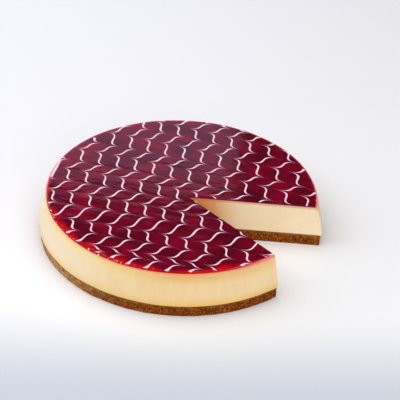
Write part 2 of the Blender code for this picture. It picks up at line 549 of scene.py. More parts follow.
@dataclass(frozen=True)
class CheeseFinish:
    """Baked cheese: a smooth creamy skin outside, paler and finely porous where it is cut, with painted
    light on its left side and painted shade near the gap's tip.
    """

    skin: Colour = srgb(248, 221, 172)
    lit_pale_skin: Colour = srgb(253, 232, 200)
    warm_skin: Colour = srgb(239, 186, 112)
    lit_lemon_skin: Colour = srgb(253, 228, 162)
    tan_skin: Colour = srgb(240, 172, 100)
    foot_skin: Colour = srgb(243, 198, 106)
    cut: Colour = srgb(255, 234, 200)
    cut_shadow: Colour = srgb(250, 221, 176)
    painted_tip_shade: Colour = srgb(226, 150, 72)
    stain: Colour = srgb(236, 120, 96)
    tip: Vector = WedgeGap.tip
    foot: float = 0.0110
    top: float = 0.0408
    # The skin. Its bands under the glaze and at the foot are given by height from there.
    drift_grain: Grain = Grain(0.012)
    drift: float = 0.003
    streak_grain: Grain = Grain(0.006, 3.0)
    streak_squeeze: float = 0.15
    cloud_grain: Grain = Grain(0.028)
    mottling: Span = Span(0.35, 0.7, 0.3)
    # Painted light: the skin turns paler towards the lit left side, its band under the glaze turns lemon
    # there, and its foot band fades.
    side_wander: float = 0.05
    lit_pale_side: Span = Span(0.035, 0.115, 0.8)
    lit_lemon_side: Span = Span(-0.01, 0.08)
    under_glaze: Span = Span(-0.012, -0.003, 0.85)
    plainer_side: Span = Span(0.0, 0.06, 0.4)
    by_glaze: Span = Span(-0.0062, -0.0015, 0.22)
    by_foot: Span = Span(0.0095, 0.0005, 0.85)
    lit_foot_fade: float = 0.4
    # The cut walls: pores, curd and painted shade deep in the gap, near its tip.
    pore_size: float = 0.0019
    pores: Span = Span(0.34, 0.16)
    porous_grain: Grain = Grain(0.006)
    porous: Span = Span(0.50, 0.62)
    pore_share: float = 0.22
    curd_grain: Grain = Grain(0.0022, 4.0, 0.6)
    curd_share: float = 0.3
    cut_shading: Span = Span(0.36, 0.64, 0.5)
    tip_shade_reach: Span = Span(0.05, 0.012, 0.9)
    # Where the glaze has soaked in, by height from the top.
    soak_grain: Grain = Grain(0.004, 3.0)
    soak_wander: float = 0.0016
    cut_soak: float = 0.0012
    soaked: Span = Span(-0.0018, 0.0001, 0.6)
    # The surface.
    skin_grain: Grain = Grain(0.0011, 3.0)
    pore_relief: float = 0.6
    curd_relief: float = 0.25
    skin_relief: float = 0.15
    relief_depth: float = 0.00045
    roughness: float = 0.46
    cut_roughness: float = 0.16
    uneven_roughness: float = 0.1
    specular: float = 0.35
    softness: float = 0.25
    soft_radius: Colour = (0.006, 0.0038, 0.0018)

    def material(self) -> Material:
        """Mixes the filling. The mesh's "cut" attribute is 1 on the cut walls.

        Returns:
            The material.
        """
        shade = Shade("baked_cheese")
        at = shade.place()
        x, y, z = shade.axes(at)
        cut = shade.attribute("cut")
        height = z + shade.wander(at, self.drift_grain, self.drift)

        streaks = shade.grain(shade.vector(x, y, z * self.streak_squeeze), self.streak_grain)
        clouds = shade.grain(at, self.cloud_grain)
        # Painted light: paler towards the lit left side.
        toward_lit_side = (clouds - 0.5) * self.side_wander - x
        lit_lemon_side = shade.ease(toward_lit_side, self.lit_lemon_side)
        under_glaze = shade.ease(height - self.top, self.under_glaze)
        under_glaze = under_glaze * (1.0 - shade.ease(x, self.plainer_side))
        by_foot = shade.ease(height - self.foot, self.by_foot) * (1.0 - lit_lemon_side * self.lit_foot_fade)
        mottling = shade.ease(shade.between(streaks, clouds), self.mottling)
        skin = shade.mix(mottling, self.skin, self.warm_skin)
        skin = shade.mix(shade.ease(toward_lit_side, self.lit_pale_side), skin, self.lit_pale_skin)
        skin = shade.mix(under_glaze, skin, shade.mix(lit_lemon_side, self.warm_skin, self.lit_lemon_skin))
        skin = shade.mix(shade.ease(height - self.top, self.by_glaze), skin, self.tan_skin)
        skin = shade.mix(by_foot, skin, self.foot_skin)

        pores = shade.ease(shade.cells(at, self.pore_size), self.pores)
        holes = pores * shade.patches(at, self.porous_grain, self.porous)
        curd = shade.grain(at, self.curd_grain)
        shading = shade.ease(shade.between(clouds, curd, self.curd_share), self.cut_shading)
        inside = shade.mix(shading, self.cut, self.cut_shadow)
        inside = shade.mix(holes * self.pore_share, inside, self.warm_skin)
        from_tip = shade.length(x - self.tip.x, y - self.tip.y)
        # Painted shade deep in the gap, near its tip.
        inside = shade.mix(shade.ease(from_tip, self.tip_shade_reach), inside, self.painted_tip_shade)

        soaked_to = z + shade.wander(at, self.soak_grain, self.soak_wander) + cut * self.cut_soak
        body = shade.mix(cut, skin, inside)
        body = shade.mix(shade.ease(soaked_to - self.top, self.soaked), body, self.stain)
        pitted = (1 - holes * cut) * self.pore_relief + curd * self.curd_relief * cut
        relief = pitted + shade.grain(at, self.skin_grain) * self.skin_relief
        shade.soften(self.softness, self.soft_radius)
        return shade.dress(
            Base_Color=body,
            Roughness=self.roughness + cut * self.cut_roughness + (clouds - 0.5) * self.uneven_roughness,
            Normal=shade.bump(relief, self.relief_depth),
            Specular_IOR_Level=self.specular,
        )


@dataclass(frozen=True)
class GlazeFinish:
    """Clear raspberry glaze: deep red, brighter where it thins at the rim, smeared by the drags, with a
    painted highlight line and painted glints at the rim.
    """

    deep: Colour = srgb(104, 0, 27)
    dark: Colour = srgb(82, 0, 20)
    red: Colour = srgb(138, 0, 38)
    magenta: Colour = srgb(122, 0, 44)
    painted_rim_highlight: Colour = srgb(246, 142, 146)
    painted_glint: Colour = srgb(255, 210, 214)
    bright: Colour = srgb(206, 0, 14)
    haze: Colour = srgb(168, 78, 114)
    radius: float = 0.1211
    thin_side: tuple[float, float] = (-0.45, -0.89)
    feathering: Feathering = field(default_factory=Feathering)
    # Smears, drawn out along the drags by their squeeze.
    sweep_width: float = 0.0024
    streak_grain: Grain = Grain(0.0022, 4.0, 0.6)
    streak_squeeze: float = 0.34
    band_grain: Grain = Grain(0.014)
    band_squeeze: float = 0.6
    band_share: float = 0.3
    blotch_grain: Grain = Grain(0.018, 2.0, 0.45)
    blotch_squeeze: float = 0.75
    cloud_grain: Grain = Grain(0.02)
    streak_share: float = 0.35
    deepening: Span = Span(0.36, 0.56)
    reddening: Span = Span(0.51, 0.63, 0.5)
    magenta_tinge: Span = Span(0.46, 0.34, 0.4)
    # The rim, brightest towards the thin side, with a painted pink highlight line round the rest.
    thin_grain: Grain = Grain(0.022, 1.0)
    thin_wander: float = 1.6
    thinning: Span = Span(0.36, 1.05)
    rim_grain: Grain = Grain(0.008, 3.0)
    rim_wander: float = 0.011
    rim_reach: float = 0.0028
    thin_rim_reach: float = 0.0076
    brightening: Span = Span(1.0, 0.1)
    least_bright: float = 0.45
    thin_bright: float = 0.55
    highlight_grain: Grain = Grain(0.004)
    highlight_wander: float = 0.0008
    rim_highlight_line: Span = Span(0.0016, 0.0004)
    highlighted_side: Span = Span(0.75, 0.35, 0.92)
    # Painted glints: pale specks on the rim's front left.
    glint_grain: Grain = Grain(0.0026)
    painted_glints: Span = Span(0.6, 0.66, 0.85)
    glinting_rim: Span = Span(0.0021, 0.0008)
    glinting_left: Span = Span(0.03, 0.06)
    glinting_front: Span = Span(0.0, 0.03)
    # Wisps of icing in the wake of the drags.
    wisps: Span = Span(0.5, 0.74)
    swept_wisps: float = 0.85
    stray_wisps: float = 0.04
    haze_grain: Grain = Grain(0.024, 1.0)
    hazy: Span = Span(0.42, 0.66, 0.55)
    least_hazy: float = 0.05
    # The surface: beads on the thin rim, and ripples.
    bead_grain: Grain = Grain(0.0038)
    beads: Span = Span(0.52, 0.66)
    beaded_rim: Span = Span(0.0034, 0.001)
    ripple_grain: Grain = Grain(0.0075)
    ripple_squeeze: float = 0.5
    streak_relief: float = 0.12
    bead_relief: float = 2.4
    relief_depth: float = 0.00018
    roughness: float = 0.09
    wisp_roughness: float = 0.12
    uneven_roughness: float = 0.06
    refraction: float = 1.4

    def material(self) -> Material:
        """Mixes the glaze. Its smears follow the drags.

        Returns:
            The material.
        """
        shade = Shade("raspberry_glaze")
        at = shade.place()
        x, y, z = shade.axes(at)
        along = self.feathering.turned(x, y)[0]
        row_place = self.feathering.row_place(x, y)
        swept: Number = 0.0
        for drag in self.feathering.drag_places:
            swept = swept + shade.near(row_place - drag, self.sweep_width)

        def smeared(grain: Grain, squeeze: float) -> Value:
            """Soft noise drawn out along the drags."""
            return shade.grain(shade.vector(along * squeeze, row_place, z), grain)

        streaks = smeared(self.streak_grain, self.streak_squeeze)
        bands = smeared(self.band_grain, self.band_squeeze)
        blotches = smeared(self.blotch_grain, self.blotch_squeeze)
        cloud = shade.grain(at, self.cloud_grain)
        deepening = shade.ease(shade.between(blotches, bands, self.band_share), self.deepening)
        body = shade.mix(deepening, self.dark, self.deep)
        body = shade.mix(shade.ease(shade.between(cloud, blotches), self.reddening), body, self.red)
        tinge = shade.ease(shade.between(cloud, streaks, self.streak_share), self.magenta_tinge)
        body = shade.mix(tinge, body, self.magenta)

        inward = self.radius - shade.length(x, y)
        to_thin_side = (x * self.thin_side[0] + y * self.thin_side[1]) / self.radius
        thin = shade.ease(to_thin_side + shade.wander(at, self.thin_grain, self.thin_wander), self.thinning)
        rim = inward + shade.wander(at, self.rim_grain, self.rim_wander)
        rim_share = rim / (thin * self.thin_rim_reach + self.rim_reach)
        bright = shade.ease(rim_share, self.brightening) * (thin * self.thin_bright + self.least_bright)
        body = shade.mix(bright, body, self.bright)
        # Painted highlight: a pale pink line along the rim, away from the thin side.
        rim_highlight_line = shade.ease(inward + shade.wander(at, self.highlight_grain, self.highlight_wander), self.rim_highlight_line)
        body = shade.mix(rim_highlight_line * shade.ease(to_thin_side, self.highlighted_side), body, self.painted_rim_highlight)
        # Painted glints: pale specks on the rim's front left.
        glinting_side = shade.ease(x * -1.0, self.glinting_left) * shade.ease(y * -1.0, self.glinting_front)
        painted_glints = shade.patches(at, self.glint_grain, self.painted_glints) * shade.ease(inward, self.glinting_rim)
        body = shade.mix(painted_glints * glinting_side, body, self.painted_glint)

        wisps = shade.ease(streaks, self.wisps) * (swept * self.swept_wisps + self.stray_wisps)
        hazy = shade.patches(at, self.haze_grain, self.hazy) + self.least_hazy
        body = shade.mix(wisps * hazy, body, self.haze)
        beads = shade.patches(at, self.bead_grain, self.beads) * shade.ease(inward, self.beaded_rim) * thin
        ripples = smeared(self.ripple_grain, self.ripple_squeeze)
        waves = streaks * self.streak_relief + ripples + beads * self.bead_relief
        return shade.dress(
            Base_Color=body,
            Roughness=self.roughness + wisps * self.wisp_roughness + (cloud - 0.5) * self.uneven_roughness,
            Normal=shade.bump(waves, self.relief_depth),
            IOR=self.refraction,
        )


@dataclass(frozen=True)
class IcingFinish:
    """White icing that turns pink and fades into the glaze where it is thin."""

    white: Colour = srgb(255, 220, 231)
    shaded: Colour = srgb(252, 198, 216)
    thin: Colour = srgb(222, 112, 158)
    faint: Colour = srgb(142, 22, 74)
    grain: Grain = Grain(0.0022, 3.0)
    shading: Span = Span(0.4, 0.65, 0.4)
    cover_wander: float = 0.25
    thinning: Span = Span(0.8, 0.3)
    fading: Span = Span(0.3, 0.04)
    relief_depth: float = 0.00015
    roughness: float = 0.32
    uneven_roughness: float = 0.1
    specular: float = 0.3
    softness: float = 0.15
    soft_radius: Colour = (0.002, 0.001, 0.001)

    def material(self) -> Material:
        """Mixes the icing. The mesh's "cover" attribute is 1 where the icing is thick.

        Returns:
            The material.
        """
        shade = Shade("feathered_icing")
        uneven = shade.grain(shade.place(), self.grain)
        cover = shade.attribute("cover") + (uneven - 0.5) * self.cover_wander
        body = shade.mix(shade.ease(uneven, self.shading), self.white, self.shaded)
        body = shade.mix(shade.ease(cover, self.thinning), body, self.thin)
        body = shade.mix(shade.ease(cover, self.fading), body, self.faint)
        shade.soften(self.softness, self.soft_radius)
        return shade.dress(
            Base_Color=body,
            Roughness=self.roughness + (uneven - 0.5) * self.uneven_roughness,
            Normal=shade.bump(uneven, self.relief_depth),
            Specular_IOR_Level=self.specular,
        )


@dataclass(frozen=True)
class FloorFinish:
    """A plain pale tabletop, with painted shade that makes it greyer towards the front."""

    colour: Colour = srgb(245, 245, 246)
    # Painted shade: the grey towards the front.
    front: Colour = srgb(202, 207, 217)
    painted_shade_reach: Span = Span(-0.11, -0.24)
    roughness: float = 0.55

    def material(self) -> Material:
        """Mixes the floor.

        Returns:
            The material.
        """
        shade = Shade("pale_floor")
        share = shade.ease(shade.axes(shade.place())[1], self.painted_shade_reach)
        return shade.dress(Base_Color=shade.mix(share, self.colour, self.front), Roughness=self.roughness)


def finish_piece(
    name: str, shell: Shell, material: Material, slot: Slot, nodes: Iterable[str] = ()
) -> Piece:
    """Turns a bmesh into a piece of the cake.

    Args:
        name: The piece's name.
        shell: The finished bmesh, which is freed.
        material: Its material.
        slot: The record's slot that it would take its finish from; not used.
        nodes: The CAD nodes that it stands for.

    Returns:
        The new object, riding on the cake's body.
    """
    mesh = bpy.data.meshes.new(name)
    bmesh.ops.recalc_face_normals(shell, faces=shell.faces)
    for face in shell.faces:
        face.smooth = True
    shell.to_mesh(mesh)
    shell.free()
    mesh.materials.append(material)
    mesh.set_sharp_from_angle(angle=SHARP_EDGE)
    piece = bpy.data.objects.new(name, mesh)
    bpy.context.scene.collection.objects.link(piece)
    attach(piece, BODY)
    if nodes:
        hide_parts(*nodes)
    LOG.info("%s: %d points, %d faces", name, len(mesh.vertices), len(mesh.polygons))
    return piece


def grow(shell: Shell, edges: list[Edge]) -> tuple[list[Vert], list[Edge]]:
    """Extrudes a closed row of edges.

    Args:
        shell: The bmesh.
        edges: The row's edges.

    Returns:
        The points and the edges of the new row.
    """
    grown = bmesh.ops.extrude_edge_only(shell, edges=edges)["geom"]
    points = [item for item in grown if isinstance(item, Vert)]
    fresh = set(points)
    return points, [item for item in grown if isinstance(item, Edge) and fresh.issuperset(item.verts)]


@dataclass
class CutLayer:
    """A round layer with the gap cut out of it, raised row by row from the outline of its foot."""

    gap: WedgeGap
    foot_radius: float
    spacing: float
    wall_slack: float = 0.0004
    end_share: float = 0.5

    def outline(self, shell: Shell) -> None:
        """Lays the foot's outline: round the cake from the near wall to the far one, and by the tip.

        Args:
            shell: The bmesh that gets the outline.
        """
        near, far = (self.gap.corner(wall, self.foot_radius) for wall in (Wall.NEAR, Wall.FAR))
        turn = self.gap.turn(near, far)
        start = shell.verts.new(near)
        steps = round(turn * self.foot_radius / self.spacing)
        spun = bmesh.ops.spin(
            shell, geom=[start], axis=(0, 0, 1), cent=(0, 0, 0), angle=-turn, steps=steps,
            use_duplicate=False,
        )
        end = next(item for item in spun["geom_last"] if isinstance(item, Vert))
        tip = shell.verts.new(self.gap.tip)
        walls = [shell.edges.new((end, tip)), shell.edges.new((tip, start))]
        cuts = round((far - self.gap.tip).length / self.spacing) - 1
        bmesh.ops.subdivide_edges(shell, edges=walls, cuts=cuts)

    def raise_rows(self, shell: Shell, rows: Sequence[tuple[float, float]]) -> None:
        """Raises the outline through the rows and closes it below and above.

        Args:
            shell: The bmesh, which holds the outline.
            rows: (height, radius) of each row, from the foot up.
        """
        edges = list(shell.edges)
        bmesh.ops.edgeloop_fill(shell, edges=edges)
        to_tip = Matrix.Translation(-self.gap.tip)
        height, radius = rows[0]
        points = list(shell.verts)
        bmesh.ops.translate(shell, verts=points, vec=(0, 0, height))
        self._widen(shell, points, radius / self.foot_radius, to_tip)
        for next_height, next_radius in rows[1:]:
            points, edges = grow(shell, edges)
            bmesh.ops.translate(shell, verts=points, vec=(0, 0, next_height - height))
            self._widen(shell, points, next_radius / radius, to_tip)
            height, radius = next_height, next_radius
        bmesh.ops.edgeloop_fill(shell, edges=edges)

    @staticmethod
    def _widen(shell: Shell, points: list[Vert], factor: float, to_tip: Matrix) -> None:
        """Scales a row about the gap's tip, which keeps its walls where they are."""
        bmesh.ops.scale(shell, verts=points, vec=(factor, factor, 1), space=to_tip)

    def outward(self, point: Vector) -> tuple[Vector, float]:
        """The level direction out of the layer at a point of its side.

        Args:
            point: A point on the side or on a cut wall.

        Returns:
            The direction, and 1 on a cut wall or 0 on the round side.
        """
        flat = Vector((point.x, point.y, 0.0))
        offset = flat - self.gap.tip
        facing = Vector((0.0, 0.0, 0.0))
        for wall in Wall:
            out, along = self.gap.into_gap(wall), self.gap.along(wall)
            if abs(offset.dot(out)) < self.wall_slack and offset.dot(along) > -self.wall_slack:
                facing += out
        if facing.length > 0:
            return facing.normalized(), 1.0
        return flat.normalized(), 0.0

    def roughen(
        self, shell: Shell, relief: Callable[[Vector, float], float], ends: tuple[float, float]
    ) -> None:
        """Moves the side's points out or in.

        Args:
            shell: The raised layer, whose "cut" layer is filled in.
            relief: Gives the distance at a point, from the point and whether it is on a cut wall.
            ends: The layer's lowest and highest height, where the relief is weaker.
        """
        cut_layer = shell.verts.layers.float.new("cut")
        moves = []
        for vertex in shell.verts:
            direction, cut = self.outward(vertex.co)
            share = self.end_share if min(abs(vertex.co.z - end) for end in ends) < HAIR else 1.0
            moves.append((vertex, direction * relief(vertex.co, cut) * share))
            vertex[cut_layer] = cut
        for vertex, move in moves:
            vertex.co += move


@dataclass
class BiscuitBase:
    """The pressed biscuit base, grainy all round and along the cuts."""

    gap: WedgeGap
    finish: BiscuitFinish = BiscuitFinish()
    height: float = 0.0110
    foot_radius: float = 0.1264
    top_radius: float = 0.1267
    foot_rounding: float = 0.0004
    rows: int = 15
    spacing: float = 0.00066
    crumb_size: float = 0.0023
    crumb_relief: float = 0.0005
    crumb_level: float = 0.45
    grit_size: float = 0.0009
    grit_relief: float = 0.00022
    swell_size: float = 0.012
    swell_relief: float = 0.0003

    def relief(self, point: Vector, cut: float) -> float:
        """How far the crumbs stand out.

        Args:
            point: A point of the side.
            cut: 1 on a cut wall, which is flatter, and 0 on the round side.

        Returns:
            The distance.
        """
        nearest = noise.voronoi(point / self.crumb_size)[0][0]
        crumb = (self.crumb_level - nearest) * self.crumb_relief
        grit = noise.noise(point / self.grit_size) * self.grit_relief
        swell = noise.noise(point / self.swell_size) * self.swell_relief * (1 - cut)
        return crumb + grit + swell

    def build(self) -> Piece:
        """Builds the base.

        Returns:
            The piece.
        """
        shell = bmesh.new()
        layer = CutLayer(self.gap, self.foot_radius, self.spacing)
        layer.outline(shell)
        rows = [(0.0, self.foot_radius - self.foot_rounding)]
        for row in range(self.rows):
            share = row / (self.rows - 1)
            height = self.foot_rounding + (self.height - self.foot_rounding) * share
            rows.append((height, self.foot_radius + (self.top_radius - self.foot_radius) * share))
        layer.raise_rows(shell, rows)
        layer.roughen(shell, self.relief, (0.0, self.height))
        return finish_piece("pressed_base", shell, self.finish.material(), Slot.BISCUIT, ["biscuit_base"])


@dataclass
class CheeseFilling:
    """The baked filling: its side leans in towards the glaze, and the gap cuts it clean."""

    gap: WedgeGap
    finish: CheeseFinish = CheeseFinish()
    foot: float = 0.0110
    top: float = 0.0408
    foot_radius: float = 0.1280
    top_radius: float = 0.1212
    bulge: float = 0.0007
    foot_rounding: float = 0.0011
    top_rounding: float = 0.0004
    rows: int = 26
    rounding_rows: int = 4
    spacing: float = 0.001
    swell_size: float = 0.022
    swell_squeeze: float = 0.4
    swell_relief: float = 0.00035
    cut_calm: float = 0.7
    curd_size: float = 0.0026
    curd_relief: float = 0.00007
    skin_curd: float = 0.4

    def radius_at(self, height: float) -> float:
        """The side's radius, before its edges are rounded.

        Args:
            height: The height above the cake's underside.

        Returns:
            The radius.
        """
        share = (height - self.foot) / (self.top - self.foot)
        lean = (self.top_radius - self.foot_radius) * share
        return self.foot_radius + lean + self.bulge * math.sin(math.pi * share)

    def side(self) -> list[tuple[float, float]]:
        """The side's rows, with both edges rounded.

        Returns:
            (height, radius) of each row, from the foot up.
        """
        rows = []
        for row in range(self.rounding_rows):
            turn = math.pi / 2 * row / self.rounding_rows
            height = self.foot + self.foot_rounding * (1 - math.cos(turn))
            rows.append((height, self.radius_at(height) - self.foot_rounding * (1 - math.sin(turn))))
        low, high = self.foot + self.foot_rounding, self.top - self.top_rounding
        for row in range(self.rows):
            height = low + (high - low) * row / (self.rows - 1)
            rows.append((height, self.radius_at(height)))
        for row in range(1, self.rounding_rows):
            turn = math.pi / 2 * row / (self.rounding_rows - 1)
            height = high + self.top_rounding * math.sin(turn)
            rows.append((height, self.radius_at(height) - self.top_rounding * (1 - math.cos(turn))))
        return rows

    def relief(self, point: Vector, cut: float) -> float:
        """How uneven the side is: a slow swell outside, and fine curd where it is cut.

        Args:
            point: A point of the side.
            cut: 1 on a cut wall and 0 on the round side.

        Returns:
            The distance by which the side stands out.
        """
        squeezed = Vector((point.x, point.y, point.z * self.swell_squeeze))
        swell = noise.noise(squeezed / self.swell_size) * self.swell_relief * (1 - self.cut_calm * cut)
        curd = noise.noise(point / self.curd_size) * self.curd_relief * (self.skin_curd + cut)
        return swell + curd

    def build(self) -> Piece:
        """Builds the filling.

        Returns:
            The piece.
        """
        shell = bmesh.new()
        layer = CutLayer(self.gap, self.foot_radius, self.spacing)
        layer.outline(shell)
        layer.raise_rows(shell, self.side())
        layer.roughen(shell, self.relief, (self.foot, self.top))
        return finish_piece("baked_filling", shell, self.finish.material(), Slot.CHEESE, ["cheese_filling"])


@dataclass
class RaspberryGlaze:
    """The glaze: a thin disc that falls away at its rounded rim, faintly grooved by the drags."""

    gap: WedgeGap
    feathering: Feathering
    finish: GlazeFinish = GlazeFinish()
    foot: float = 0.0408
    top: float = 0.0420
    radius: float = 0.1211
    rim_drop: float = 0.0001
    rim_reach: float = 0.0035
    rim_rounding: float = 0.0006
    rounding_rows: int = 5
    turn_steps: int = 384
    ring_spacing: float = 0.0016
    groove_depth: float = 0.00005
    groove_width: float = 0.0015
    swell: float = 0.00006
    swell_length: float = 0.03
    swell_width: float = 0.009
    waver_band: float = 0.004
    slow_waver: float = 0.0003
    slow_waver_size: float = 0.014
    quick_waver: float = 0.00012
    quick_waver_size: float = 0.0035
    most_merged: int = 64
    merge_reach: float = 0.62
    angle_slack: float = 0.01

    def height_at(self, point: Vector) -> float:
        """The glaze's upper surface, without the rounding of its rim.

        Args:
            point: A place on the glaze.

        Returns:
            The surface's height there.
        """
        inward = max(0.0, self.radius - math.hypot(point.x, point.y))
        along, across = self.feathering.turned(point.x, point.y)
        row_place = self.feathering.row_place(point.x, point.y)
        groove = math.exp(-((self.feathering.from_drag(row_place) / self.groove_width) ** 2))
        swell = noise.noise(Vector((along / self.swell_length, across / self.swell_width, 0.0)))
        drop = self.rim_drop * math.exp(-inward / self.rim_reach)
        return self.top - drop - self.groove_depth * groove + self.swell * swell

    def waver(self, point: Vector) -> float:
        """How far the rim strays from a circle."""
        slow = self.slow_waver * noise.noise(point / self.slow_waver_size)
        return slow + self.quick_waver * noise.noise(point / self.quick_waver_size)

    def build(self) -> Piece:
        """Builds the glaze: spun round the gap's tip, then fitted to the cake's circle.

        Returns:
            The piece.
        """
        shell = bmesh.new()
        rings = round((self.radius - self.rim_rounding) / self.ring_spacing)
        inner = self.radius - self.rim_rounding
        profile = [(inner * ring / rings, self.top) for ring in range(rings + 1)]
        for row in range(1, self.rounding_rows + 1):
            turn = math.pi / 2 * row / self.rounding_rows
            drop = self.rim_rounding * (1 - math.cos(turn))
            profile.append((inner + self.rim_rounding * math.sin(turn), self.top - drop))
        profile += [(self.radius, self.foot), (0.0, self.foot)]
        start_way, far_way = self.gap.along(Wall.NEAR), self.gap.along(Wall.FAR)
        points = [shell.verts.new(self.gap.tip + start_way * r + Vector((0, 0, z))) for r, z in profile]
        edges = [shell.edges.new(pair) for pair in zip(points, points[1:])]
        bmesh.ops.spin(
            shell, geom=points + edges, axis=(0, 0, 1), cent=self.gap.tip,
            angle=-self.gap.turn(start_way, far_way), steps=self.turn_steps, use_duplicate=False,
        )
        bmesh.ops.remove_doubles(shell, verts=shell.verts, dist=HAIR)
        self.thin_out(shell)
        self.close_walls(shell)
        self.shape(shell)
        return finish_piece("set_glaze", shell, self.finish.material(), Slot.GLAZE, ["raspberry_glaze"])

    def close_walls(self, shell: Shell) -> None:
        """Closes both cut walls, which share the upright edge at the gap's tip.

        Args:
            shell: The spun glaze, open at both walls.
        """
        at_tip = [point for point in shell.verts if (point.co - self.gap.tip).xy.length < TOUCH]
        upright = shell.edges.new(at_tip)
        open_edges = [edge for edge in shell.edges if edge.is_boundary]
        for wall in Wall:
            facing = self.gap.into_gap(wall)
            loop = [
                edge for edge in open_edges
                if all(abs((point.co - self.gap.tip).dot(facing)) < TOUCH for point in edge.verts)
            ]
            bmesh.ops.edgeloop_fill(shell, edges=loop + [upright])

    def thin_out(self, shell: Shell) -> None:
        """Merges columns towards the tip, so that faces there don't get too small.

        Args:
            shell: The spun glaze.
        """
        near_way = self.gap.along(Wall.NEAR)
        start = math.atan2(near_way.y, near_way.x)
        turn = self.gap.turn(near_way, self.gap.along(Wall.FAR))
        columns: dict[tuple[int, int, int], Vert] = {}
        places: dict[Vert, tuple[int, int, int]] = {}
        for vertex in shell.verts:
            offset = vertex.co - self.gap.tip
            distance = math.hypot(offset.x, offset.y)
            if distance < TOUCH:
                continue
            angle = (start - math.atan2(offset.y, offset.x)) % math.tau
            if angle > turn + self.angle_slack:
                angle -= math.tau
            column = round(angle / turn * self.turn_steps)
            key = (column, round(distance / HAIR), round(vertex.co.z / HAIR))
            columns[key] = vertex
            places[vertex] = key
        merged = {}
        for vertex, (column, distance, height) in places.items():
            step = 1
            while step < self.most_merged and distance * HAIR < self.radius * self.merge_reach / step:
                step *= 2
            home = columns.get((column // step * step, distance, height))
            if column % step and home is not None and column < self.turn_steps:
                merged[vertex] = home
        bmesh.ops.weld_verts(shell, targetmap=merged)

    def shape(self, shell: Shell) -> None:
        """Fits the rim to the cake's circle and gives the upper surface its grooves and swell.

        Args:
            shell: The closed glaze.
        """
        for vertex in shell.verts:
            offset = vertex.co - self.gap.tip
            height, offset.z = offset.z, 0.0
            if offset.length > HAIR:
                direction = offset.normalized()
                reach = self.gap.reach(direction, self.radius)
                flat = self.gap.tip + direction * (offset.length / self.radius * reach)
                outer = smooth_share(flat.length, self.radius - self.waver_band, self.radius)
                flat += direction * self.waver(flat) * outer
                vertex.co = (flat.x, flat.y, height)
            if height > self.foot + HAIR:
                vertex.co.z += self.height_at(vertex.co) - self.top


